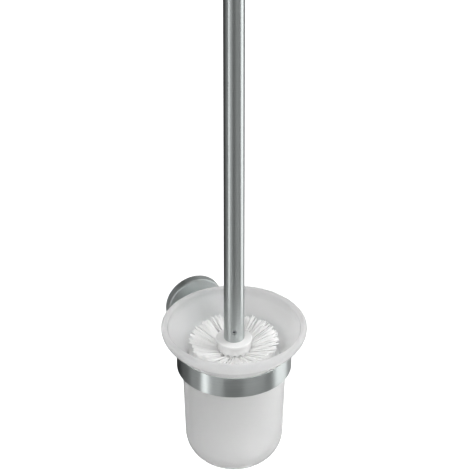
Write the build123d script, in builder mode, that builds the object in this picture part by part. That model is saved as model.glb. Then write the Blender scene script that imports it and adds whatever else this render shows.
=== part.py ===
from build123d import *
import os
from math import cos, radians, sin, sqrt, tan

# Wall-mounted toilet brush holder, in millimetres.
# The origin is the centre of the round rosette on the wall. The wall is the plane y = 0, the holder
# stands out along -Y, +Z is up, and the cup, the ring and the brush share one upright axis.

# Rosette and wall plate
rosette_r = 24.0
rosette_depth = 7.0
rosette_front = 2.0
rosette_rim = 3.0
rosette_edge = 1.2
plate_play = 0.2
plate_thickness = 4.5
plate_bore_r = 7.0
wall_screw_spacing = 26.0
wall_screw_hole_r = 2.25
wall_screw_sink_r = 4.2
rosette_screw_r = 1.5
rosette_screw_inset = 2.4
rosette_screw_recess = 0.4
rosette_socket_r = 0.8

# Arm between the rosette and the ring
reach = 84.0
arm_r = 7.0
arm_screw_r = 3.0
arm_screw_depth = 14.0
arm_screw_head_r = 5.2
arm_screw_head = 3.0
arm_socket_r = 2.3
arm_socket_depth = 1.8

# Ring that carries the cup, and the plastic liner inside it
ring_outer_r = 45.3
ring_wall = 1.5
ring_height = 18.0
ring_edge = 0.9
ring_break = 0.35
liner_wall = 1.0
liner_inset = 1.5
liner_break = 0.3

# Glass cup
rim_r = 57.25
glass = 5.0
flare_angle = 45.0
flare_bend = 11.4
neck_bend = 11.4
neck_play = 1.65
seat_gap = 0.5
cup_side = 73.5
cup_taper = 1.7
corner_bend = 25.7
corner_turn = 72.4

# Brush head
hub_length = 88.2
hub_r = 13.0
flange_r = 14.2
flange_height = 2.4
flange_round = 0.9
hub_round = 4.0
bristle_gap = 0.8
tuft_root_r = 1.7
tuft_tip_r = 3.6
tuft_seat = 3.0
row_count = 8
tufts_in_row = 16
top_row_drop = 11.0
top_row_tilt = 22.0
top_row_spread = 2.2
low_row_rise = 8.5
crown_tufts = 9
crown_tilt = -45.0
tip_tufts = 4
tip_circle_r = 5.4

# Handle
handle_r = 8.0
handle_wall = 1.0
handle_length = 304.5
cap_height = 1.5
cap_edge = 0.4
cap_spigot = 8.0
insert_length = 24.0
stud_r = 4.0
stud_length = 18.0
handle_screw_r = 2.3
handle_screw_length = 5.0
handle_screw_rise = 9.8
handle_screw_turn = 23.5
handle_screw_recess = 0.5
handle_socket_r = 1.3
handle_socket_depth = 2.0

# Fits: a pressed or glued joint, and the play round a screw
press_play = 0.02
screw_play = 0.1

# Worked-out places, as radius from the shared axis and height
cup_axis = Axis((0, -reach, 0), (0, 0, 1))
upright_section = Plane(origin=(0, -reach, 0), x_dir=(1, 0, 0), z_dir=(0, -1, 0))
wall_section = Plane.XY
wall_axis = Axis.Y
face_in = Plane.XZ

ring_inner_r = ring_outer_r - ring_wall
ring_top = ring_height / 2
liner_outer_r = ring_inner_r - press_play
liner_inner_r = liner_outer_r - liner_wall

flare = radians(flare_angle)
taper = radians(cup_taper)
turn = radians(corner_turn)

# The neck's bend is centred outside the glass. The flare above it comes down on the ring's inner edge.
neck_r = liner_inner_r - neck_play
neck_centre_r = neck_r + neck_bend * cos(taper)
seat_r = ring_inner_r + ring_edge - seat_gap
neck_z = ring_top - sqrt(neck_bend**2 - (neck_centre_r - seat_r) ** 2)
liner_top = neck_z + sqrt(neck_bend**2 - (neck_centre_r - liner_inner_r + seat_gap) ** 2)

# The flare is a cone between the neck's bend and the rim's bend
cone_low_r = neck_centre_r - neck_bend * cos(flare)
cone_high_r = rim_r - flare_bend * (1 - cos(flare))
cone_length = (cone_high_r - cone_low_r) / sin(flare)
lip_z = neck_z + neck_bend * sin(flare) + cone_length * cos(flare) + flare_bend * sin(flare)

# Below the neck the side tapers in, turns through the corner and closes in a shallow dome
corner_r = neck_r - cup_side * sin(taper) - corner_bend * cos(taper)
corner_z = neck_z + (neck_bend + corner_bend) * sin(taper) - cup_side * cos(taper)
dome_offset = corner_r / cos(turn)
dome_bend = corner_bend + dome_offset
dome_z = corner_z + dome_offset * sin(turn)
cup_floor = dome_z - dome_bend + glass

# The brush stands on the cup's floor
hub_low = corner_z
hub_top = hub_low + hub_length
bristle_r = corner_r + (corner_bend - glass) * cos(taper) - bristle_gap
top_row_z = hub_top - top_row_drop
low_row_z = hub_low + low_row_rise
row_pitch = (top_row_z - low_row_z) / (row_count - 1)

handle_top = hub_top + handle_length
insert_r = handle_r - handle_wall - press_play
handle_screw_z = hub_top + handle_screw_rise

os.makedirs("parts", exist_ok=True)


def save(piece, name):
    """Label a finished piece and write it as its own node."""
    piece.part.label = name
    export_step(piece.part, f"parts/{name}.step")


def glass_outline(depth):
    """The cup's section from lip to axis, a given depth inside its outer face: bend, cone, bend, side,
    corner and dome, each tangent to the next, so that every depth shares the same centres."""
    CenterArc((rim_r - flare_bend, lip_z), flare_bend - depth, 0, -flare_angle)
    high = PolarLine(
        (rim_r - flare_bend, lip_z), flare_bend - depth, -flare_angle, mode=Mode.PRIVATE
    )
    low = PolarLine((neck_centre_r, neck_z), neck_bend + depth, 180 - flare_angle, mode=Mode.PRIVATE)
    Line(high @ 1, low @ 1)
    bend = CenterArc((neck_centre_r, neck_z), neck_bend + depth, 180 - flare_angle, flare_angle - cup_taper)
    corner = CenterArc((corner_r, corner_z), corner_bend - depth, -cup_taper, cup_taper - corner_turn)
    Line(bend @ 1, corner @ 0)
    CenterArc((0, dome_z), dome_bend - depth, -corner_turn, corner_turn - 90)


def tuft_places(count, height, tilt, start, half_step=0):
    """Planes round the brush's axis whose normals run out along tufts of one tilt, each a given distance
    from the axis point at that height."""
    places = []
    for step in range(count):
        around = radians((step + half_step) * 360 / count)
        lean = radians(tilt)
        along = Vector(cos(around) * cos(lean), sin(around) * cos(lean), sin(lean))
        across = Vector(-sin(around), cos(around), 0)
        places.append(Plane(origin=Vector(0, -reach, height) + along * start, x_dir=across, z_dir=along))
    return places


def corner_distance(height, tilt):
    """How far a line from the axis point at that height runs before it meets the cup's inner corner,
    less the bristles' gap: the far root of the line and circle equation."""
    lean = radians(tilt)
    rise = height - corner_z
    along = corner_r * cos(lean) - rise * sin(lean)
    clear = corner_bend - glass - bristle_gap
    return along + sqrt(along**2 - corner_r**2 - rise**2 + clear**2)


def add_tufts(places, length):
    """Tufts standing on the given planes: a straight root in its hole, then a flared bundle of bristles."""
    with Locations(*places):
        Cylinder(tuft_root_r, tuft_seat, align=(Align.CENTER, Align.CENTER, Align.MIN))
    with Locations(*[place.offset(tuft_seat) for place in places]):
        Cone(tuft_root_r, tuft_tip_r, length, align=(Align.CENTER, Align.CENTER, Align.MIN))


def drill_tufts(places):
    """Blind holes for the roots of the tufts on the given planes, open at the hub's face."""
    with Locations(*places):
        Cylinder(
            tuft_root_r + press_play,
            tuft_seat + tuft_root_r,
            align=(Align.CENTER, Align.CENTER, Align.MIN),
            mode=Mode.SUBTRACT,
        )


# Wall plate: a ring screwed to the wall, which the rosette slips over
plate_r = rosette_r - rosette_rim - plate_play
with BuildPart() as wall_plate:
    with BuildSketch(face_in):
        Circle(plate_r)
        Circle(plate_bore_r, mode=Mode.SUBTRACT)
    extrude(amount=plate_thickness)
    with Locations(Plane(origin=(0, -plate_thickness, 0), x_dir=(1, 0, 0), z_dir=(0, -1, 0))):
        with GridLocations(wall_screw_spacing, 0, 2, 1):
            CounterSinkHole(wall_screw_hole_r, wall_screw_sink_r, counter_sink_angle=90)
save(wall_plate, "wall_plate")

# Rosette: a turned cap with a rounded front edge, hollow behind, held by a small screw from below
rosette_screw_hole_r = rosette_screw_r + screw_play
with BuildPart() as rosette_cover:
    with BuildSketch(wall_section):
        with BuildLine():
            Polyline(
                (arm_screw_r + screw_play, -rosette_depth),
                (rosette_r, -rosette_depth),
                (rosette_r, 0),
                (rosette_r - rosette_rim, 0),
                (rosette_r - rosette_rim, rosette_front - rosette_depth),
                (arm_screw_r + screw_play, rosette_front - rosette_depth),
                close=True,
            )
        face = make_face()
        fillet(face.vertices().sort_by(Axis.Y)[:2].sort_by(Axis.X)[-1], rosette_edge)
    revolve(axis=wall_axis)
    with Locations(Plane(origin=(0, -rosette_screw_inset, 0), x_dir=(1, 0, 0), z_dir=(0, 0, -1))):
        Cylinder(
            rosette_screw_hole_r,
            rosette_r + rosette_rim,
            align=(Align.CENTER, Align.CENTER, Align.MIN),
            mode=Mode.SUBTRACT,
        )
save(rosette_cover, "rosette_cover")

# Small socket screw in the rosette's rim, which bears on the wall plate
rosette_screw_low = plate_r + press_play
rosette_screw_length = rosette_r - rosette_screw_recess - rosette_screw_low
with BuildPart() as rosette_screw:
    with BuildSketch(Plane(origin=(0, -rosette_screw_inset, -rosette_screw_low), z_dir=(0, 0, -1))):
        Circle(rosette_screw_r)
    extrude(amount=rosette_screw_length)
    with BuildSketch(rosette_screw.faces().sort_by(Axis.Z)[0]):
        RegularPolygon(rosette_socket_r, 6)
    extrude(amount=-rosette_screw_length / 2, mode=Mode.SUBTRACT)
save(rosette_screw, "rosette_screw")

# Arm: a round bar from the rosette's face to the ring, saddled to the ring and tapped at its wall end
with BuildPart() as support_arm:
    with BuildSketch(face_in.offset(rosette_depth)):
        Circle(arm_r)
    extrude(amount=reach - rosette_depth)
    with Locations((0, -reach, 0)):
        Cylinder(ring_outer_r, ring_height, mode=Mode.SUBTRACT)
    with Locations(Plane(origin=(0, -rosette_depth, 0), x_dir=(1, 0, 0), z_dir=(0, 1, 0))):
        Hole(arm_screw_r + press_play, arm_screw_depth + screw_play)
save(support_arm, "support_arm")

# Screw that pulls the arm against the rosette from inside
head_face = rosette_depth - rosette_front - arm_screw_head
with BuildPart() as arm_screw:
    with BuildSketch(face_in.offset(head_face)):
        Circle(arm_screw_head_r)
    extrude(amount=arm_screw_head)
    with BuildSketch(face_in.offset(head_face + arm_screw_head)):
        Circle(arm_screw_r)
    extrude(amount=rosette_front + arm_screw_depth)
    with BuildSketch(face_in.offset(head_face)):
        RegularPolygon(arm_socket_r, 6)
    extrude(amount=arm_socket_depth, mode=Mode.SUBTRACT)
save(arm_screw, "arm_screw")

# Ring: a flat band whose inner top edge is bevelled for the flare of the glass
with BuildPart() as ring_band:
    with BuildSketch(upright_section):
        with BuildLine():
            Polyline(
                (ring_inner_r, -ring_top),
                (ring_outer_r, -ring_top),
                (ring_outer_r, ring_top),
                (ring_inner_r + ring_edge, ring_top),
                (ring_inner_r, ring_top - ring_edge),
                close=True,
            )
        band = make_face()
        fillet(band.vertices().group_by(Axis.X)[-1], ring_break)
    revolve(axis=cup_axis)
save(ring_band, "ring_band")

# Liner: a thin plastic sleeve that keeps the glass off the steel
with BuildPart() as ring_liner:
    with BuildSketch(upright_section):
        with BuildLine():
            Polyline(
                (liner_inner_r, liner_inset - ring_top),
                (liner_outer_r, liner_inset - ring_top),
                (liner_outer_r, liner_top),
                (liner_inner_r, liner_top),
                close=True,
            )
        sleeve = make_face()
        fillet(sleeve.vertices().group_by(Axis.X)[0], liner_break)
    revolve(axis=cup_axis)
save(ring_liner, "ring_liner")

# Glass cup: one even wall with a full round lip
with BuildPart() as glass_cup:
    with BuildSketch(upright_section):
        with BuildLine():
            glass_outline(0)
            glass_outline(glass)
            CenterArc((rim_r - glass / 2, lip_z), glass / 2, 0, 180)
            Line((0, dome_z - dome_bend), (0, cup_floor))
        make_face()
    revolve(axis=cup_axis)
save(glass_cup, "glass_cup")

# Brush hub: a moulded core with a round flange on top, drilled for its tufts and the handle's stud
row_tilts = [top_row_tilt] + [0] * (row_count - 1)
row_exits = [hub_r / cos(radians(tilt)) + tuft_root_r * tan(radians(tilt)) for tilt in row_tilts]
row_places = [
    tuft_places(
        tufts_in_row,
        top_row_z - row_pitch * row - hub_r * tan(radians(row_tilts[row])),
        row_tilts[row],
        row_exits[row] - tuft_seat,
        row % 2 / 2,
    )
    for row in range(row_count)
]
crown_lean = radians(crown_tilt)
crown_z = hub_low + hub_round - (hub_r - hub_round) * tan(crown_lean)
crown_exit = (hub_r - hub_round) / cos(crown_lean) + hub_round
crown_places = tuft_places(crown_tufts, crown_z, crown_tilt, crown_exit - tuft_seat)
tip_places = [
    Plane(
        origin=place.origin + place.z_dir * tip_circle_r + Vector(0, 0, tuft_seat),
        x_dir=place.x_dir,
        z_dir=(0, 0, -1),
    )
    for place in tuft_places(tip_tufts, hub_low, 0, 0)
]
with BuildPart() as brush_hub:
    with BuildSketch(upright_section):
        with BuildLine():
            FilletPolyline(
                (0, hub_top),
                (flange_r, hub_top),
                (flange_r, hub_top - flange_height),
                (hub_r, hub_top - flange_height),
                (hub_r, hub_low),
                (0, hub_low),
                radius=[flange_round, flange_round / 2, (flange_r - hub_r) / 2, hub_round],
            )
            Line((0, hub_low), (0, hub_top))
        make_face()
    revolve(axis=cup_axis)
    with Locations(Plane(origin=(0, -reach, hub_top), z_dir=(0, 0, 1))):
        Hole(stud_r + press_play, stud_length + screw_play)
    for places in row_places + [crown_places, tip_places]:
        drill_tufts(places)
save(brush_hub, "brush_hub")

# Rows of bristle tufts round the hub: the top row leans up and reaches a little further
for row in range(row_count):
    tip_r = bristle_r + (top_row_spread if row == 0 else 0)
    with BuildPart() as bristle_row:
        add_tufts(row_places[row], tip_r / cos(radians(row_tilts[row])) - row_exits[row])
    save(bristle_row, f"bristle_row_{row + 1}")

# Crown of tufts round the hub's lower end, and the tufts under it
with BuildPart() as bristle_crown:
    add_tufts(crown_places, corner_distance(crown_z, crown_tilt) - crown_exit)
save(bristle_crown, "bristle_crown")

with BuildPart() as bristle_tip:
    add_tufts(tip_places, hub_low - cup_floor - bristle_gap)
save(bristle_tip, "bristle_tip")

# Handle tube, with a hole near its lower end for the screw that locks the insert
handle_screw_plane = Plane(
    origin=(0, -reach, handle_screw_z),
    x_dir=(0, 0, 1),
    z_dir=(-sin(radians(handle_screw_turn)), -cos(radians(handle_screw_turn)), 0),
)
handle_screw_hole_r = handle_screw_r + screw_play
with BuildPart() as handle_tube:
    with BuildSketch(Plane(origin=(0, -reach, hub_top))):
        Circle(handle_r)
        Circle(handle_r - handle_wall, mode=Mode.SUBTRACT)
    extrude(amount=handle_length)
    with Locations(handle_screw_plane):
        Cylinder(
            handle_screw_hole_r,
            handle_r + handle_wall,
            align=(Align.CENTER, Align.CENTER, Align.MIN),
            mode=Mode.SUBTRACT,
        )
save(handle_tube, "handle_tube")

# Cap that closes the tube's top, with a spigot pressed into the tube
with BuildPart() as handle_cap:
    with BuildSketch(Plane(origin=(0, -reach, handle_top))):
        Circle(handle_r)
    extrude(amount=cap_height)
    fillet(handle_cap.edges().group_by(Axis.Z)[-1], cap_edge)
    with BuildSketch(Plane(origin=(0, -reach, handle_top))):
        Circle(insert_r)
    extrude(amount=-cap_spigot)
save(handle_cap, "handle_cap")

# Insert in the tube's lower end: a plug whose stud screws into the hub
screw_depth = handle_r - handle_screw_recess - handle_screw_length
with BuildPart() as handle_insert:
    with BuildSketch(Plane(origin=(0, -reach, hub_top))):
        Circle(insert_r)
    extrude(amount=insert_length)
    with BuildSketch(Plane(origin=(0, -reach, hub_top))):
        Circle(stud_r)
    extrude(amount=-stud_length)
    with Locations(handle_screw_plane.offset(screw_depth - press_play)):
        Cylinder(
            handle_screw_r + press_play,
            handle_r,
            align=(Align.CENTER, Align.CENTER, Align.MIN),
            mode=Mode.SUBTRACT,
        )
save(handle_insert, "handle_insert")

# Socket screw that locks the insert in the tube
with BuildPart() as handle_screw:
    with BuildSketch(handle_screw_plane.offset(screw_depth)):
        Circle(handle_screw_r)
    extrude(amount=handle_screw_length)
    with BuildSketch(handle_screw_plane.offset(screw_depth + handle_screw_length)):
        RegularPolygon(handle_socket_r, 6)
    extrude(amount=-handle_socket_depth, mode=Mode.SUBTRACT)
save(handle_screw, "handle_screw")
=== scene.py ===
import bmesh
import bpy
import numpy as np
from bpy.props import FloatProperty, FloatVectorProperty, IntProperty, PointerProperty
from mathutils import Matrix, Vector


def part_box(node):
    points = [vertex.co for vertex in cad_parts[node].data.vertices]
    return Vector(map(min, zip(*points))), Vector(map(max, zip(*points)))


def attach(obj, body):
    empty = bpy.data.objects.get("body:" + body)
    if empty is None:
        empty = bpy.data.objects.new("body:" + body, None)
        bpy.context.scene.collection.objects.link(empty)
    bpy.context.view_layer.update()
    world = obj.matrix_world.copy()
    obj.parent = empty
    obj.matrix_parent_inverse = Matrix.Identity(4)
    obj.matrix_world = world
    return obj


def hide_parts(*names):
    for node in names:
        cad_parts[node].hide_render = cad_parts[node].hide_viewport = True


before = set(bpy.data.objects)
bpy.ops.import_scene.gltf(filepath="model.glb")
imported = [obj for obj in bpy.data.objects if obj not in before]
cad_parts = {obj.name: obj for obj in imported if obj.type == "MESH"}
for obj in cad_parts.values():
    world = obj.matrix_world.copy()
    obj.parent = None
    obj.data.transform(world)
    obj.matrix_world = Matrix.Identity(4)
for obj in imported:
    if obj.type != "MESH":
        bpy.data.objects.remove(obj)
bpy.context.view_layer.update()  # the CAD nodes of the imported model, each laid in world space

bl_info = {
    "name": "Brush Holder Dressing",
    "version": (1, 0, 0),
    "blender": (4, 5, 0),
    "location": "View3D > Sidebar > Brush Holder",
    "description": "Frosted glass, brushed steel, bristles and a studio for a wall brush holder",
    "category": "Object",
}

SEED = 20
WHITE = (1.0, 1.0, 1.0, 1.0)
UPRIGHT = (0.0, 0.0, 1.0)
INTO_WALL = (0.0, 1.0, 0.0)

# The ring is centred on the upright axis that the cup and the brush share.
RING_LOW, RING_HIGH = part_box("ring_band")
AXIS = np.array([(RING_LOW.x + RING_HIGH.x) / 2, (RING_LOW.y + RING_HIGH.y) / 2])
GLASS_LOW, GLASS_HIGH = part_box("glass_cup")
HUB_LOW, HUB_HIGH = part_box("brush_hub")
ROSETTE_LOW, ROSETTE_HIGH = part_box("rosette_cover")
ROW_NAMES = tuple("bristle_row_%d" % (row + 1) for row in range(8))

# Steps of the grids that the surfaces are worked out on.
CUP_TURNS = 144
FILAMENT_STEPS = 5
FILAMENT_SIDES = 4
FLOOR_RINGS = 9
FLOOR_TURNS = 72
PANEL_ROWS = 41
PANEL_TURNS = 720

# Points on the axis that are nearer than this are one pole.
POLE_GAP = 1e-7

# The steel's lines: how slowly their pattern runs round the axis, and how coarse the broad lines are, both
# against the fine lines.
ROUND_SLOWNESS = 0.012
BROAD_LINES = 0.22

# How filaments depart from an even fan: in their bunch against its radius, with a smaller share of that at
# the root, as a bunch against the tuft's half height, and as a tuft against its size at the tips. A filament
# bends out with a power of the share along it, and thins towards its tip.
LOOSE_IN_BUNCH = 0.5
LOOSE_AT_ROOT = 0.3
STRAY_BUNCH = 0.10
LEANING_TUFT = 0.06
BEND_POWER = 1.2
TIP_THINNING = 0.25

# The studio's panels: middle in degrees from the camera, half width and soft edge in degrees, and brightness
# at the foot and at the head. Heights and radii are in metres.
PANEL_BASE = 0.19
PANELS = (
    (-140.0, 30.0, 14.0, 0.03, 0.03),
    (-100.0, 14.0, 6.0, 0.18, 0.18),
    (-80.0, 9.0, 4.0, 0.55, 0.38),
    (-34.0, 14.0, 5.0, 0.54, 0.54),
    (-55.0, 6.0, 2.0, 2.00, 2.25),
    (40.0, 22.0, 10.0, 0.50, 0.36),
    (138.0, 22.0, 8.0, 0.70, 0.30),
    (95.0, 16.5, 5.0, 0.52, 2.15),
)
PANEL_FOOT = -0.30
PANEL_HEAD = -0.05
PANEL_RADIUS = 0.42
PANEL_TOP = 1.3
PANEL_GAP = 0.005

# The floor's size, how white the camera sees it, and how bright gloss and glass see it.
FLOOR_RADIUS = 6.0
FLOOR_GLOW = 0.85
FLOOR_MIRRORED = 0.05

# Height that the lamps face, how far off they stand, the camera's sensor in millimetres, and how far the
# camera sees.
LAMP_AIM = 0.05
LAMP_DISTANCE = 1.6
SENSOR_WIDTH = 36.0
CLIP_END = 50.0


class GlassSizes(bpy.types.PropertyGroup):
    """Sizes of the glass cup's section, as in the solid that it stands for"""

    rim_radius: FloatProperty(
        name="Rim radius",
        description="Radius of the flared rim",
        default=(GLASS_HIGH.x - GLASS_LOW.x) / 2,
        unit="LENGTH",
        precision=5,
    )
    wall: FloatProperty(
        name="Wall", description="Thickness of the glass", default=0.005, unit="LENGTH", precision=5
    )
    flare_bend: FloatProperty(
        name="Flare bend",
        description="Radius of the bend under the rim",
        default=0.0114,
        unit="LENGTH",
        precision=5,
    )
    neck_bend: FloatProperty(
        name="Neck bend",
        description="Radius of the bend at the neck",
        default=0.0114,
        unit="LENGTH",
        precision=5,
    )
    neck_radius: FloatProperty(
        name="Neck radius", description="Radius of the neck", default=0.04113, unit="LENGTH", precision=5
    )
    neck_height: FloatProperty(
        name="Neck height",
        description="Height of the neck's bend over the ring's middle",
        default=0.001212,
        unit="LENGTH",
        precision=5,
    )
    flare_angle: FloatProperty(
        name="Flare angle",
        description="Slope of the flare",
        default=np.radians(45.0),
        subtype="ANGLE",
    )
    taper: FloatProperty(
        name="Taper",
        description="Slope of the cup's side",
        default=np.radians(1.7),
        subtype="ANGLE",
    )
    side: FloatProperty(
        name="Side", description="Length of the straight side", default=0.0735, unit="LENGTH", precision=5
    )
    corner_bend: FloatProperty(
        name="Corner bend",
        description="Radius of the bend between side and base",
        default=0.0257,
        unit="LENGTH",
        precision=5,
    )
    corner_turn: FloatProperty(
        name="Corner turn",
        description="How far the corner turns before the shallow base",
        default=np.radians(72.4),
        subtype="ANGLE",
    )


class BrushSizes(bpy.types.PropertyGroup):
    """Sizes of the bristles, which stand where the plain solids do"""

    hub_radius: FloatProperty(
        name="Hub radius",
        description="Radius of the moulded core",
        default=0.013,
        unit="LENGTH",
        precision=5,
    )
    hub_round: FloatProperty(
        name="Hub round",
        description="Rounding of the core's lower end",
        default=0.004,
        unit="LENGTH",
        precision=5,
    )
    tufts: IntProperty(name="Tufts in a row", description="Tufts round the hub in one row", default=16)
    crown_tufts: IntProperty(name="Crown tufts", description="Tufts round the hub's lower end", default=9)
    tip_tufts: IntProperty(name="Tip tufts", description="Tufts under the hub", default=4)
    bunches: IntProperty(name="Bunches", description="Bunches of filaments in one tuft", default=12)
    bunch_size: IntProperty(name="Bunch size", description="Filaments in one bunch", default=6)
    bunch_radius: FloatProperty(
        name="Bunch radius",
        description="Radius of a bunch at its tips",
        default=0.0005,
        unit="LENGTH",
        precision=5,
    )
    uneven: FloatProperty(
        name="Uneven cut",
        description="How much shorter the shortest filaments are",
        default=0.24,
        subtype="FACTOR",
    )
    filament_radius: FloatProperty(
        name="Filament radius",
        description="Half the thickness of one filament",
        default=0.00027,
        unit="LENGTH",
        precision=5,
    )
    root_radius: FloatProperty(
        name="Tuft root",
        description="Radius of a tuft at the hub",
        default=0.0016,
        unit="LENGTH",
        precision=5,
    )
    tip_radius: FloatProperty(
        name="Tuft tip",
        description="Half height of a tuft at its tips",
        default=0.0020,
        unit="LENGTH",
        precision=5,
    )
    tip_fan: FloatProperty(
        name="Tuft fan",
        description="Half width of a tuft at its tips",
        default=0.0064,
        unit="LENGTH",
        precision=5,
    )
    seat: FloatProperty(
        name="Tuft seat",
        description="Depth of a tuft's root in the hub",
        default=0.0025,
        unit="LENGTH",
        precision=5,
    )
    reach: FloatProperty(
        name="Reach",
        description="Radius of the brush at its tips",
        default=0.033152,
        unit="LENGTH",
        precision=5,
    )
    top_spread: FloatProperty(
        name="Top spread",
        description="How much further the top row reaches",
        default=0.0022,
        unit="LENGTH",
        precision=5,
    )
    top_drop: FloatProperty(
        name="Top row drop",
        description="Depth of the top row under the hub's top",
        default=0.011,
        unit="LENGTH",
        precision=5,
    )
    low_rise: FloatProperty(
        name="Low row rise",
        description="Height of the lowest row over the hub's end",
        default=0.0085,
        unit="LENGTH",
        precision=5,
    )
    top_tilt: FloatProperty(
        name="Top row tilt",
        description="How far the top row leans up",
        default=np.radians(22.0),
        subtype="ANGLE",
    )
    crown_tilt: FloatProperty(
        name="Crown tilt",
        description="How far the crown's tufts lean, down being negative",
        default=np.radians(-45.0),
        subtype="ANGLE",
    )
    crown_reach: FloatProperty(
        name="Crown reach",
        description="Distance from the axis to the crown's tips, along its tufts",
        default=0.0384,
        unit="LENGTH",
        precision=5,
    )
    tip_circle: FloatProperty(
        name="Tip circle",
        description="Radius of the circle of tufts under the hub",
        default=0.0054,
        unit="LENGTH",
        precision=5,
    )


class HolderColours(bpy.types.PropertyGroup):
    """Colours of the finishes"""

    steel: FloatVectorProperty(
        name="Brushed steel",
        description="Reflection colour of the brushed stainless steel",
        default=(0.60, 0.635, 0.63),
        subtype="COLOR",
        min=0.0,
        max=1.0,
    )
    plating: FloatVectorProperty(
        name="Plated steel",
        description="Reflection colour of screws and inner metal",
        default=(0.50, 0.52, 0.53),
        subtype="COLOR",
        min=0.0,
        max=1.0,
    )
    glass: FloatVectorProperty(
        name="Frosted glass",
        description="Colour of the satin glass",
        default=(0.92, 0.92, 0.92),
        subtype="COLOR",
        min=0.0,
        max=1.0,
    )
    bristle: FloatVectorProperty(
        name="Bristles",
        description="Colour of the filaments",
        default=(0.98, 0.98, 0.975),
        subtype="COLOR",
        min=0.0,
        max=1.0,
    )
    hub: FloatVectorProperty(
        name="Hub",
        description="Colour of the brush's moulded core",
        default=(0.79, 0.79, 0.785),
        subtype="COLOR",
        min=0.0,
        max=1.0,
    )
    liner: FloatVectorProperty(
        name="Liner",
        description="Colour of the plastic sleeve in the ring",
        default=(0.82, 0.82, 0.815),
        subtype="COLOR",
        min=0.0,
        max=1.0,
    )
    floor: FloatVectorProperty(
        name="Floor",
        description="Colour of the studio floor",
        default=(0.6, 0.6, 0.6),
        subtype="COLOR",
        min=0.0,
        max=1.0,
    )


class StudioSettings(bpy.types.PropertyGroup):
    """Camera and light of the studio"""

    lens: FloatProperty(
        name="Lens",
        description="Focal length in millimetres on a 36 mm sensor",
        default=183.13,
        unit="CAMERA",
    )
    camera_turn: FloatProperty(
        name="Camera turn",
        description="Turn of the camera to the left of straight ahead",
        default=np.radians(23.5),
        subtype="ANGLE",
    )
    camera_pitch: FloatProperty(
        name="Camera pitch",
        description="How far the camera looks down",
        default=np.radians(32.03),
        subtype="ANGLE",
    )
    camera_reach: FloatProperty(
        name="Camera reach",
        description="Level distance from the cup's axis to the camera",
        default=1.55141,
        unit="LENGTH",
    )
    camera_height: FloatProperty(
        name="Camera height", description="Height of the camera", default=1.0822, unit="LENGTH"
    )
    camera_side: FloatProperty(
        name="Camera side",
        description="Sideways step of the camera",
        default=0.0007,
        unit="LENGTH",
        precision=5,
    )
    floor_drop: FloatProperty(
        name="Floor drop", description="Height of the cup over the floor", default=0.42, unit="LENGTH"
    )
    ambient: FloatProperty(
        name="Ambient", description="Even light from all round", default=0.3, subtype="FACTOR"
    )
    key: FloatProperty(
        name="Key lamp", description="Power of the lamp high on the right", default=14.5, unit="POWER"
    )
    front: FloatProperty(
        name="Front lamp",
        description="Power of the low lamp in front on the right",
        default=20.0,
        unit="POWER",
    )
    fill: FloatProperty(
        name="Fill lamp", description="Power of the lamp high on the left", default=13.0, unit="POWER"
    )


class HolderSettings(bpy.types.PropertyGroup):
    """Everything a user may change on the brush holder"""

    glass: PointerProperty(type=GlassSizes)
    brush: PointerProperty(type=BrushSizes)
    colours: PointerProperty(type=HolderColours)
    studio: PointerProperty(type=StudioSettings)


def settings():
    """The brush holder's settings in the present scene."""
    return bpy.context.scene.brush_holder


def add_piece(name, points, faces):
    """A mesh object at the origin from arrays of points and of equal-sized faces."""
    mesh = bpy.data.meshes.new(name)
    mesh.from_pydata(points.reshape(-1, 3), [], faces)
    mesh.polygons.foreach_set("use_smooth", np.ones(len(faces), dtype=bool))
    mesh.update()
    piece = bpy.data.objects.new(name, mesh)
    bpy.context.scene.collection.objects.link(piece)
    return piece


def add_values(piece, name, values):
    """One number for each point, which a material reads by name."""
    layer = piece.data.attributes.new(name, "FLOAT", "POINT")
    layer.data.foreach_set("value", np.ascontiguousarray(values, dtype=np.float32).ravel())


def grid_faces(rows, columns):
    """Four-sided faces of a grid whose last column joins its first: cell (i, j) has the corners
    (i, j), (i, j + 1), (i + 1, j + 1) and (i + 1, j)."""
    i, j = np.meshgrid(np.arange(rows - 1), np.arange(columns), indexing="ij")
    beside = (j + 1) % columns
    corners = [i * columns + j, i * columns + beside, (i + 1) * columns + beside, (i + 1) * columns + j]
    return np.stack(corners, axis=-1).reshape(-1, 4)


def turned(profile, steps):
    """A profile of (radius, height) carried once round the upright axis:
    x = axis x + radius cos(turn), y = axis y + radius sin(turn), z = height."""
    turn = np.linspace(0, 2 * np.pi, steps, endpoint=False)
    radius = profile[:, None, 0]
    height = np.broadcast_to(profile[:, None, 1], (len(profile), steps))
    return np.stack([AXIS[0] + radius * np.cos(turn), AXIS[1] + radius * np.sin(turn), height], axis=-1)


def close_poles(piece):
    """Join the points that meet on the axis and turn every face outwards."""
    work = bmesh.new()
    work.from_mesh(piece.data)
    bmesh.ops.remove_doubles(work, verts=work.verts, dist=POLE_GAP)
    bmesh.ops.recalc_face_normals(work, faces=work.faces)
    work.to_mesh(piece.data)
    work.free()


def arc(centre, radius, start, end, count):
    """Points of a circle's arc: centre + radius (cos, sin) of the angle from start to end."""
    angle = np.linspace(start, end, count)
    return np.stack([centre[0] + radius * np.cos(angle), centre[1] + radius * np.sin(angle)], axis=-1)


def add_node(tree, kind, inputs=None, **options):
    """A shader node with its options set and its sockets linked or given a value."""
    node = tree.nodes.new(kind)
    for option, value in options.items():
        setattr(node, option, value)
    for socket, value in (inputs or {}).items():
        if isinstance(value, bpy.types.NodeSocket):
            tree.links.new(value, node.inputs[socket])
        else:
            node.inputs[socket].default_value = value
    return node


def new_finish(name):
    """An empty node material and its tree."""
    material = bpy.data.materials.new(name)
    material.use_nodes = True
    material.node_tree.nodes.clear()
    return material, material.node_tree


def shade(tree, shader):
    """Send a shader to the material's surface."""
    add_node(tree, "ShaderNodeOutputMaterial", {"Surface": shader})


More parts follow.
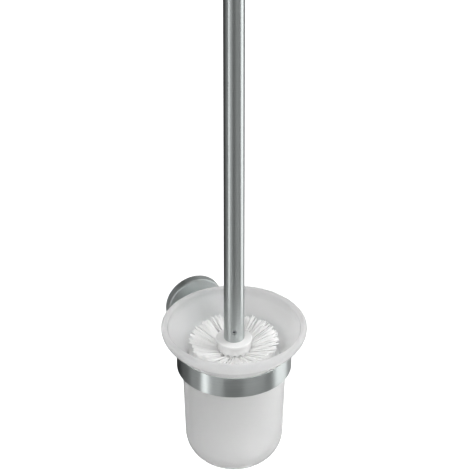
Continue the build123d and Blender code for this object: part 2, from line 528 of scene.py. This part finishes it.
def vector_result(tree, operation, first, second):
    """The vector that an operation makes of two vectors."""
    made = add_node(tree, "ShaderNodeVectorMath", {0: first, 1: second}, operation=operation)
    return made.outputs["Vector"]


def stretched(tree, vector, factor):
    """A vector times a number."""
    made = add_node(tree, "ShaderNodeVectorMath", {0: vector, "Scale": factor}, operation="SCALE")
    return made.outputs["Vector"]


def number_result(tree, operation, first, second):
    """The number that an operation makes of two numbers."""
    made = add_node(tree, "ShaderNodeMath", {0: first, 1: second}, operation=operation)
    return made.outputs["Value"]


def spread(tree, value, low, high):
    """Bring a pattern of 0 to 1 into the range from low to high."""
    ranged = add_node(
        tree, "ShaderNodeMapRange", {"Value": value, "To Min": low, "To Max": high}, clamp=True
    )
    return ranged.outputs["Result"]


def tint(tree, colour, value, low, high):
    """A colour made darker or lighter by a pattern of 0 to 1, between two factors."""
    return vector_result(tree, "MULTIPLY", colour, spread(tree, value, low, high))


def noise(tree, vector, scale, detail):
    """Value of a noise pattern over a vector."""
    pattern = add_node(
        tree, "ShaderNodeTexNoise", {"Vector": vector, "Scale": scale, "Detail": detail, "Roughness": 0.6}
    )
    return pattern.outputs["Fac"]


def bump(tree, height, strength, depth):
    """A surface normal from a height pattern."""
    made = add_node(
        tree, "ShaderNodeBump", {"Height": height, "Strength": strength, "Distance": depth}
    )
    return made.outputs["Normal"]


def object_place(tree):
    """Place on the object."""
    return add_node(tree, "ShaderNodeTexCoord").outputs["Object"]


def turned_steel(name, colour, centre, axis, roughness, grain):
    """Steel brushed round an axis. Fine lines follow circles: the pattern runs fast with the distance
    along and from the axis and slowly round it, and the gloss is drawn out across the lines."""
    material, tree = new_finish(name)
    place = vector_result(tree, "SUBTRACT", object_place(tree), centre)
    along = add_node(tree, "ShaderNodeVectorMath", {0: place, 1: axis}, operation="DOT_PRODUCT")
    along = along.outputs["Value"]
    out = vector_result(tree, "SUBTRACT", place, stretched(tree, axis, along))
    distance = add_node(tree, "ShaderNodeVectorMath", {0: out}, operation="LENGTH").outputs["Value"]
    lines = stretched(tree, axis, number_result(tree, "ADD", along, distance))
    grain_place = vector_result(tree, "ADD", lines, stretched(tree, out, ROUND_SLOWNESS))
    fine = noise(tree, grain_place, grain, 4.0)
    broad = noise(tree, grain_place, grain * BROAD_LINES, 2.0)
    pattern = number_result(tree, "MULTIPLY", number_result(tree, "ADD", fine, broad), 0.5)
    cloud = noise(tree, place, 55.0, 3.0)
    clouded = spread(tree, cloud, roughness - 0.03, roughness + 0.03)
    shader = add_node(
        tree,
        "ShaderNodeBsdfPrincipled",
        {
            "Base Color": tint(tree, colour, pattern, 0.86, 1.14),
            "Metallic": 1.0,
            "Roughness": number_result(tree, "ADD", clouded, spread(tree, pattern, -0.05, 0.05)),
            "Anisotropic": 1.0,
            "Anisotropic Rotation": 0.25,
            "Tangent": vector_result(tree, "CROSS_PRODUCT", axis, out),
            "Normal": bump(tree, pattern, 0.08, 0.0002),
        },
    )
    shade(tree, shader.outputs["BSDF"])
    return material


def plated_steel(name, colour):
    """Plain plated steel with soft clouds and fine pits."""
    material, tree = new_finish(name)
    place = object_place(tree)
    cloud = noise(tree, place, 260.0, 4.0)
    pits = noise(tree, place, 2600.0, 2.0)
    shader = add_node(
        tree,
        "ShaderNodeBsdfPrincipled",
        {
            "Base Color": tint(tree, colour, cloud, 0.8, 1.15),
            "Metallic": 1.0,
            "Roughness": spread(tree, cloud, 0.24, 0.42),
            "Normal": bump(tree, pits, 0.12, 0.0001),
        },
    )
    shade(tree, shader.outputs["BSDF"])
    return material


def moulded_plastic(name, colour, roughness):
    """Moulded plastic: a fine grain, soft uneven gloss and a faint change of tone."""
    material, tree = new_finish(name)
    place = object_place(tree)
    cloud = noise(tree, place, 140.0, 3.0)
    grain = noise(tree, place, 1900.0, 3.0)
    shader = add_node(
        tree,
        "ShaderNodeBsdfPrincipled",
        {
            "Base Color": tint(tree, colour, cloud, 0.97, 1.03),
            "Roughness": spread(tree, grain, roughness - 0.06, roughness + 0.08),
            "IOR": 1.49,
            "Normal": bump(tree, grain, 0.10, 0.0001),
        },
    )
    shade(tree, shader.outputs["BSDF"])
    return material


def satin_glass(name, colour):
    """Etched glass: light is scattered at the satin skin, so it glows and nothing shows through sharply."""
    material, tree = new_finish(name)
    place = object_place(tree)
    cloud = noise(tree, place, 38.0, 3.0)
    etch = noise(tree, place, 2400.0, 3.0)
    shader = add_node(
        tree,
        "ShaderNodeBsdfPrincipled",
        {
            "Base Color": tint(tree, colour, cloud, 0.985, 1.015),
            "Roughness": spread(tree, etch, 0.66, 0.78),
            "IOR": 1.5,
            "Transmission Weight": 0.9,
            "Normal": bump(tree, etch, 0.12, 0.0001),
        },
    )
    shade(tree, shader.outputs["BSDF"])
    return material


def bristle_finish(name, colour):
    """Drawn plastic filaments: each has its own tone, and painted shade makes each a little darker towards
    its root in the hub.
    """
    material, tree = new_finish(name)
    tone = add_node(tree, "ShaderNodeAttribute", attribute_name="tone").outputs["Fac"]
    along = add_node(tree, "ShaderNodeAttribute", attribute_name="along").outputs["Fac"]
    # Painted shade: besides each filament's random tone, the colour is a little darker towards the root,
    # where the filaments crowd into the hub.
    tone_and_root_shade = number_result(tree, "ADD", spread(tree, tone, 0.0, 0.7), spread(tree, along, 0.0, 0.3))
    shader = add_node(
        tree,
        "ShaderNodeBsdfPrincipled",
        {
            "Base Color": tint(tree, colour, tone_and_root_shade, 0.97, 1.02),
            "Roughness": spread(tree, tone, 0.36, 0.52),
            "IOR": 1.5,
        },
    )
    shade(tree, shader.outputs["BSDF"])
    return material


def dress(names, material):
    """Put a finish on every slot of the named CAD nodes."""
    for name in names:
        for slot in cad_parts[name].material_slots:
            slot.material = material


def glass_profile():
    """The cup's section from the axis under the base, up the outer face, over the round lip and down the
    inner face to the axis: arcs and straight runs, each tangent to the next, and the inner face a wall's
    thickness inside the outer one."""
    cup = settings().glass
    lip_height = GLASS_HIGH.z - cup.wall / 2
    neck = np.array([cup.neck_radius + cup.neck_bend * np.cos(cup.taper), cup.neck_height])
    flare = np.array([cup.rim_radius - cup.flare_bend, lip_height])
    corner_radius = cup.neck_radius - cup.side * np.sin(cup.taper) - cup.corner_bend * np.cos(cup.taper)
    corner_height = (
        cup.neck_height + (cup.neck_bend + cup.corner_bend) * np.sin(cup.taper) - cup.side * np.cos(cup.taper)
    )
    offset = corner_radius / np.cos(cup.corner_turn)
    dome = np.array([0.0, corner_height + offset * np.sin(cup.corner_turn)])
    corner = np.array([corner_radius, corner_height])
    lip_middle = np.array([cup.rim_radius - cup.wall / 2, lip_height])
    base_points, corner_points, bend_points, side_points, cone_points = 14, 22, 18, 12, 6

    def face(depth):
        """One face of the section, set in by a depth: base, corner, side, neck, cone and flare."""
        base_reach = cup.corner_bend + offset - depth
        base = arc(dome, base_reach, -np.pi / 2, -cup.corner_turn, base_points)
        round_corner = arc(corner, cup.corner_bend - depth, -cup.corner_turn, -cup.taper, corner_points)[1:]
        neck_start, neck_end = np.pi - cup.taper, np.pi - cup.flare_angle
        round_neck = arc(neck, cup.neck_bend + depth, neck_start, neck_end, bend_points)
        round_flare = arc(flare, cup.flare_bend - depth, -cup.flare_angle, 0, bend_points)
        side = np.linspace(round_corner[-1], round_neck[0], side_points)[1:-1]
        cone = np.linspace(round_neck[-1], round_flare[0], cone_points)[1:-1]
        return np.concatenate([base, round_corner, side, round_neck, cone, round_flare])

    lip = arc(lip_middle, cup.wall / 2, 0, np.pi, bend_points)[1:-1]
    return np.concatenate([face(0), lip, face(cup.wall)[::-1]])


def tuft_frames(count, height, tilt, half_step):
    """For tufts spaced evenly round the axis: the axis point they start from, and the directions along,
    across and above each tuft."""
    turn = (np.arange(count) + half_step) * 2 * np.pi / count
    level = np.zeros(count)
    out = np.stack([np.cos(turn), np.sin(turn), level], axis=-1)
    across = np.stack([-np.sin(turn), np.cos(turn), level], axis=-1)
    up = np.array(UPRIGHT)
    along = np.cos(tilt) * out + np.sin(tilt) * up
    above = np.cos(tilt) * up - np.sin(tilt) * out
    start = np.broadcast_to(np.array([AXIS[0], AXIS[1], height]), (count, 3))
    return start, along, across, above


def filament_grid(frames, first, last, chance):
    """Filaments of some tufts, in bunches that keep together. Bunch k stands at the turn and share of a
    sunflower's seed k, inside a small round root and a wide flat tip. A filament's line runs from its root to
    its tip with the share s from 0 to 1:
    point = start + along (first + (last - first) s) + side (root + (tip - root) s^BEND_POWER + bow s^2),
    and a four-sided section is carried along it. A cut filament goes a smaller share of the way. Returns
    points shaped (tuft, filament, step, side, 3), and each point's tone and share."""
    brush = settings().brush
    start, along, across, above = [part[:, None, None, None, :] for part in frames]
    tufts = len(frames[0])
    bunches = brush.bunches
    filaments = bunches * brush.bunch_size
    bunch = np.repeat(np.arange(bunches), brush.bunch_size)
    share = np.sqrt((bunch + 0.5) / bunches)
    turn = bunch * np.pi * (3 - np.sqrt(5)) + chance.uniform(0, 2 * np.pi, (tufts, 1))
    loose = chance.normal(0, LOOSE_IN_BUNCH, (2, tufts, filaments)) * brush.bunch_radius
    stray = np.repeat(chance.normal(0, STRAY_BUNCH, (2, tufts, bunches)), brush.bunch_size, axis=-1)
    lean = chance.normal(0, LEANING_TUFT, (2, tufts, 1))
    own_cut = chance.uniform(0, 1, (tufts, filaments)) ** 2
    bunch_cut = np.repeat(chance.uniform(0, 1, (tufts, bunches)) ** 2, brush.bunch_size, axis=-1)
    cut = (own_cut + bunch_cut) / 2
    tone = chance.uniform(0, 1, (tufts, filaments))
    s = np.linspace(0, 1, FILAMENT_STEPS)

    reach = first + (last - first) * s * (1 - brush.uneven * cut[..., None])
    shares = np.stack(np.broadcast_arrays(share * np.cos(turn), share * np.sin(turn)))
    tips = np.array([brush.tip_fan, brush.tip_radius])[:, None, None]
    root = shares * brush.root_radius + loose * LOOSE_AT_ROOT
    tip = (shares + lean) * tips + loose
    bow = stray * brush.tip_radius
    way = root[..., None] + (tip - root)[..., None] * s**BEND_POWER + bow[..., None] * s**2

    around = (np.arange(FILAMENT_SIDES) + 0.5) * 2 * np.pi / FILAMENT_SIDES
    thick = brush.filament_radius * (1 - TIP_THINNING * s**3)[:, None]
    points = (
        start
        + along * reach[..., None, None]
        + across * (way[0][..., None] + thick * np.cos(around))[..., None]
        + above * (way[1][..., None] + thick * np.sin(around))[..., None]
    )
    tone = np.broadcast_to(tone[..., None, None], points.shape[:-1])
    return points, tone, np.broadcast_to(s[:, None], points.shape[:-1])


def filament_faces(count, steps, sides):
    """Faces of many like tubes: the grid of one tube, repeated with each tube's own first point."""
    first = np.arange(count)[:, None, None] * steps * sides
    walls = (grid_faces(steps, sides)[None] + first).reshape(-1, 4).tolist()
    low = (np.arange(sides)[::-1][None] + first[:, :, 0]).tolist()
    high = (np.arange(sides)[None] + (steps - 1) * sides + first[:, :, 0]).tolist()
    return walls + low + high


def add_bristles(name, frames, first, last, material, chance):
    """One node's tufts as separate filaments, riding on the brush in place of the plain solids."""
    points, tone, along = filament_grid(frames, first, last, chance)
    tufts, filaments, steps, sides = points.shape[:4]
    piece = add_piece(name + "_filaments", points, filament_faces(tufts * filaments, steps, sides))
    add_values(piece, "tone", tone)
    add_values(piece, "along", along)
    piece.data.materials.append(material)
    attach(piece, "brush")
    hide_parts(name)


class HOLDER_OT_steelwork(bpy.types.Operator):
    """Give the handle, the ring, the arm and the rosette their brushed steel"""

    bl_idname = "brush_holder.steelwork"
    bl_label = "Steelwork"

    def execute(self, context):
        colour = settings().colours.steel
        shaft = (AXIS[0], AXIS[1], 0.0)
        wall = ((ROSETTE_LOW.x + ROSETTE_HIGH.x) / 2, 0.0, (ROSETTE_LOW.z + ROSETTE_HIGH.z) / 2)
        for names, finish, centre, axis, roughness, grain in (
            (("handle_tube", "handle_cap"), "handle_steel", shaft, UPRIGHT, 0.40, 5000.0),
            (("ring_band",), "ring_steel", shaft, UPRIGHT, 0.36, 5000.0),
            (("rosette_cover",), "rosette_steel", wall, INTO_WALL, 0.35, 4000.0),
            (("support_arm",), "arm_steel", wall, INTO_WALL, 0.2, 5000.0),
        ):
            dress(names, turned_steel(finish, colour, centre, axis, roughness, grain))
        return {"FINISHED"}


class HOLDER_OT_fixings(bpy.types.Operator):
    """Give the screws, the wall plate and the handle's insert their plated steel"""

    bl_idname = "brush_holder.fixings"
    bl_label = "Fixings"

    def execute(self, context):
        names = ["wall_plate", "rosette_screw", "arm_screw", "handle_insert", "handle_screw"]
        dress(names, plated_steel("plated_fixings", settings().colours.plating))
        return {"FINISHED"}


class HOLDER_OT_glass(bpy.types.Operator):
    """Turn the frosted glass cup from its section"""

    bl_idname = "brush_holder.glass"
    bl_label = "Glass cup"

    def execute(self, context):
        profile = glass_profile()
        piece = add_piece("frosted_cup", turned(profile, CUP_TURNS), grid_faces(len(profile), CUP_TURNS))
        close_poles(piece)
        piece.data.materials.append(satin_glass("satin_glass", settings().colours.glass))
        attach(piece, "cup")
        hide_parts("glass_cup")
        return {"FINISHED"}


class HOLDER_OT_liner(bpy.types.Operator):
    """Give the sleeve in the ring its soft plastic"""

    bl_idname = "brush_holder.liner"
    bl_label = "Liner"

    def execute(self, context):
        dress(["ring_liner"], moulded_plastic("soft_liner", settings().colours.liner, 0.45))
        return {"FINISHED"}


class HOLDER_OT_hub(bpy.types.Operator):
    """Give the brush's core its white moulded plastic"""

    bl_idname = "brush_holder.hub"
    bl_label = "Brush hub"

    def execute(self, context):
        dress(["brush_hub"], moulded_plastic("white_core", settings().colours.hub, 0.36))
        return {"FINISHED"}


class HOLDER_OT_bristles(bpy.types.Operator):
    """Set the tufts of filaments into the hub"""

    bl_idname = "brush_holder.bristles"
    bl_label = "Bristles"

    def execute(self, context):
        brush = settings().brush
        material = bristle_finish("white_filaments", settings().colours.bristle)
        chance = np.random.default_rng(SEED)
        top = HUB_HIGH.z - brush.top_drop
        pitch = (top - HUB_LOW.z - brush.low_rise) / (len(ROW_NAMES) - 1)
        for row, name in enumerate(ROW_NAMES):
            tilt, reach = (brush.top_tilt, brush.reach + brush.top_spread) if row == 0 else (0.0, brush.reach)
            height = top - pitch * row - brush.hub_radius * np.tan(tilt)
            frames = tuft_frames(brush.tufts, height, tilt, row % 2 / 2)
            root = brush.hub_radius / np.cos(tilt) - brush.seat
            add_bristles(name, frames, root, reach / np.cos(tilt), material, chance)

        core = brush.hub_radius - brush.hub_round
        height = HUB_LOW.z + brush.hub_round - core * np.tan(brush.crown_tilt)
        root = core / np.cos(brush.crown_tilt) + brush.hub_round - brush.seat
        frames = tuft_frames(brush.crown_tufts, height, brush.crown_tilt, 0)
        add_bristles("bristle_crown", frames, root, brush.crown_reach, material, chance)

        start, out, across, above = tuft_frames(brush.tip_tufts, HUB_LOW.z, 0.0, 0)
        frames = start + brush.tip_circle * out, -above, across, out
        length = HUB_LOW.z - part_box("bristle_tip")[0].z
        add_bristles("bristle_tip", frames, -brush.seat, length, material, chance)
        return {"FINISHED"}


def background_light(tree, lighting, mirrored, seen):
    """Strength of the background: what it gives as light, what gloss and glass show of it, and what the
    camera sees of it."""
    path = add_node(tree, "ShaderNodeLightPath")
    gloss, glass = path.outputs["Is Glossy Ray"], path.outputs["Is Transmission Ray"]
    soft = spread(tree, number_result(tree, "MAXIMUM", gloss, glass), lighting, mirrored)
    mixed = add_node(
        tree, "ShaderNodeMapRange", {"Value": path.outputs["Is Camera Ray"], "To Min": soft, "To Max": seen}
    )
    return mixed.outputs["Result"]


def light_world(ambient):
    """An even pale surround that lights the part softly and is white where it is seen."""
    world = bpy.data.worlds.new("pale_surround")
    world.use_nodes = True
    tree = world.node_tree
    tree.nodes.clear()
    strength = background_light(tree, lighting=ambient, mirrored=1.0, seen=1.0)
    light = add_node(tree, "ShaderNodeBackground", {"Color": WHITE, "Strength": strength})
    add_node(tree, "ShaderNodeOutputWorld", {"Surface": light.outputs["Background"]})
    bpy.context.scene.world = world


def floor_finish(name, colour):
    """A pale matt floor that keeps shadows and is white where it is seen in open light."""
    material, tree = new_finish(name)
    place = object_place(tree)
    cloud = noise(tree, place, 3.0, 2.0)
    matt = add_node(tree, "ShaderNodeBsdfDiffuse", {"Color": tint(tree, colour, cloud, 0.99, 1.01)})
    strength = background_light(tree, lighting=0.0, mirrored=FLOOR_MIRRORED, seen=FLOOR_GLOW)
    glow = add_node(tree, "ShaderNodeEmission", {"Color": WHITE, "Strength": strength})
    both = add_node(tree, "ShaderNodeAddShader", {0: matt.outputs["BSDF"], 1: glow.outputs["Emission"]})
    shade(tree, both.outputs["Shader"])
    return material


def floor_level():
    """Height of the studio floor, a drop under the cup."""
    return GLASS_LOW.z - settings().studio.floor_drop


def add_floor():
    """A round floor: radius and turn on a grid, level throughout."""
    level = np.full(FLOOR_RINGS, floor_level())
    radius = np.linspace(0.0, FLOOR_RADIUS, FLOOR_RINGS)
    points = turned(np.stack([radius, level], axis=-1), FLOOR_TURNS)
    floor = add_piece("studio_floor", points, grid_faces(FLOOR_RINGS, FLOOR_TURNS))
    close_poles(floor)
    floor.data.materials.append(floor_finish("pale_floor", settings().colours.floor))


def eased(share):
    """A share kept between 0 and 1, with a smooth start and end: s^2 (3 - 2 s)."""
    share = np.clip(share, 0.0, 1.0)
    return share * share * (3 - 2 * share)


def panel_light(turn, height):
    """Brightness of the studio's panels at a turn about the axis, in degrees from the camera, right being
    positive, and a height: an even base, with each panel laid over it between soft edges. A panel goes
    smoothly from its brightness at the foot to that at the head."""
    rise = eased((height - PANEL_FOOT) / (PANEL_HEAD - PANEL_FOOT))
    level = np.full_like(turn, PANEL_BASE)
    for centre, half_width, edge, low, high in PANELS:
        away = np.abs((turn - centre + 180.0) % 360.0 - 180.0)
        share = eased((half_width + edge - away) / (2 * edge))
        level = level * (1 - share) + (low + (high - low) * rise) * share
    return level


def add_panels():
    """A ring of upright studio panels that only gloss can see: height and turn on a grid round the axis."""
    heights = np.linspace(floor_level() + PANEL_GAP, PANEL_TOP, PANEL_ROWS)
    points = turned(np.stack([np.full(PANEL_ROWS, PANEL_RADIUS), heights], axis=-1), PANEL_TURNS)
    panels = add_piece("studio_panels", points, grid_faces(PANEL_ROWS, PANEL_TURNS))
    world_turn = np.degrees(np.arctan2(points[..., 1] - AXIS[1], points[..., 0] - AXIS[0]))
    camera_turn = -90.0 - np.degrees(settings().studio.camera_turn)
    add_values(panels, "glow", panel_light(world_turn - camera_turn, points[..., 2]))
    material, tree = new_finish("panel_glow")
    glow = add_node(tree, "ShaderNodeAttribute", attribute_name="glow").outputs["Fac"]
    light = add_node(tree, "ShaderNodeEmission", {"Color": WHITE, "Strength": glow})
    shade(tree, light.outputs["Emission"])
    material.cycles.emission_sampling = "NONE"
    panels.data.materials.append(material)
    panels.visible_camera = False
    panels.visible_diffuse = False
    panels.visible_transmission = False
    panels.visible_shadow = False


def add_lamp(name, turn, rise, size, power):
    """A square lamp that faces the middle of the part from a turn to the right of the camera and a rise, in
    degrees. Gloss sees the panels instead of it."""
    middle = Vector((AXIS[0], AXIS[1], LAMP_AIM))
    around = np.radians(turn) - settings().studio.camera_turn
    level = LAMP_DISTANCE * np.cos(np.radians(rise))
    above = LAMP_DISTANCE * np.sin(np.radians(rise))
    away = Vector((level * np.sin(around), -level * np.cos(around), above))
    light = bpy.data.lights.new(name, "AREA")
    light.shape = "SQUARE"
    light.size = size
    light.energy = power
    lamp = bpy.data.objects.new(name, light)
    facing = (-away).to_track_quat("-Z", "Y").to_matrix().to_4x4()
    lamp.matrix_world = Matrix.Translation(middle + away) @ facing
    lamp.visible_glossy = False
    lamp.visible_camera = False
    bpy.context.scene.collection.objects.link(lamp)


def add_camera(studio):
    """A long lens at the photograph's angle: it stands off the axis, steps aside and looks down."""
    turn, pitch = studio.camera_turn, studio.camera_pitch
    right = Vector((np.cos(turn), -np.sin(turn), 0.0))
    ahead = Vector((np.sin(turn) * np.cos(pitch), np.cos(turn) * np.cos(pitch), -np.sin(pitch)))
    lens = bpy.data.cameras.new("studio_camera")
    lens.sensor_width = SENSOR_WIDTH
    lens.lens = studio.lens
    lens.clip_end = CLIP_END
    camera = bpy.data.objects.new("studio_camera", lens)
    back_x, back_y = np.sin(turn) * studio.camera_reach, np.cos(turn) * studio.camera_reach
    place = Vector((AXIS[0] - back_x, AXIS[1] - back_y, studio.camera_height))
    facing = ahead.to_track_quat("-Z", "Y").to_matrix().to_4x4()
    camera.matrix_world = Matrix.Translation(place + right * studio.camera_side) @ facing
    bpy.context.scene.collection.objects.link(camera)
    bpy.context.scene.camera = camera


class HOLDER_OT_stage(bpy.types.Operator):
    """Set up the floor, the studio light and the camera"""

    bl_idname = "brush_holder.stage"
    bl_label = "Stage"

    def execute(self, context):
        studio = settings().studio
        light_world(studio.ambient)
        add_floor()
        add_panels()
        add_lamp("key_lamp", turn=100.0, rise=45.0, size=0.9, power=studio.key)
        add_lamp("front_lamp", turn=48.0, rise=-5.0, size=1.5, power=studio.front)
        add_lamp("fill_lamp", turn=-30.0, rise=60.0, size=0.9, power=studio.fill)
        add_camera(studio)
        context.scene.view_settings.view_transform = "Standard"
        # White bristles and frosted glass pass light on many times before it gets out of the cup.
        context.scene.cycles.diffuse_bounces = 10
        context.scene.cycles.transmission_bounces = 24
        context.scene.cycles.max_bounces = 24
        return {"FINISHED"}


class HOLDER_PT_panel(bpy.types.Panel):
    """The brush holder's steps, sizes and colours"""

    bl_idname = "HOLDER_PT_panel"
    bl_label = "Brush Holder"
    bl_space_type = "VIEW_3D"
    bl_region_type = "UI"
    bl_category = "Brush Holder"

    def draw(self, context):
        for step in STEPS:
            self.layout.operator(step.bl_idname)
        holder = context.scene.brush_holder
        for group in (holder.glass, holder.brush, holder.colours, holder.studio):
            box = self.layout.box()
            for name in group.__annotations__:
                box.prop(group, name)


GROUPS = (GlassSizes, BrushSizes, HolderColours, StudioSettings, HolderSettings)
STEPS = (
    HOLDER_OT_steelwork,
    HOLDER_OT_fixings,
    HOLDER_OT_glass,
    HOLDER_OT_liner,
    HOLDER_OT_hub,
    HOLDER_OT_bristles,
    HOLDER_OT_stage,
)
CLASSES = GROUPS + STEPS + (HOLDER_PT_panel,)


def register():
    """Make the settings, the steps and the panel known."""
    for each in CLASSES:
        bpy.utils.register_class(each)
    bpy.types.Scene.brush_holder = PointerProperty(type=HolderSettings)


def unregister():
    """Take the settings, the steps and the panel away again."""
    del bpy.types.Scene.brush_holder
    for each in reversed(CLASSES):
        bpy.utils.unregister_class(each)


def main():
    """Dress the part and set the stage."""
    register()
    bpy.ops.brush_holder.steelwork()
    bpy.ops.brush_holder.fixings()
    bpy.ops.brush_holder.glass()
    bpy.ops.brush_holder.liner()
    bpy.ops.brush_holder.hub()
    bpy.ops.brush_holder.bristles()
    bpy.ops.brush_holder.stage()


if __name__ == "__main__":
    main()
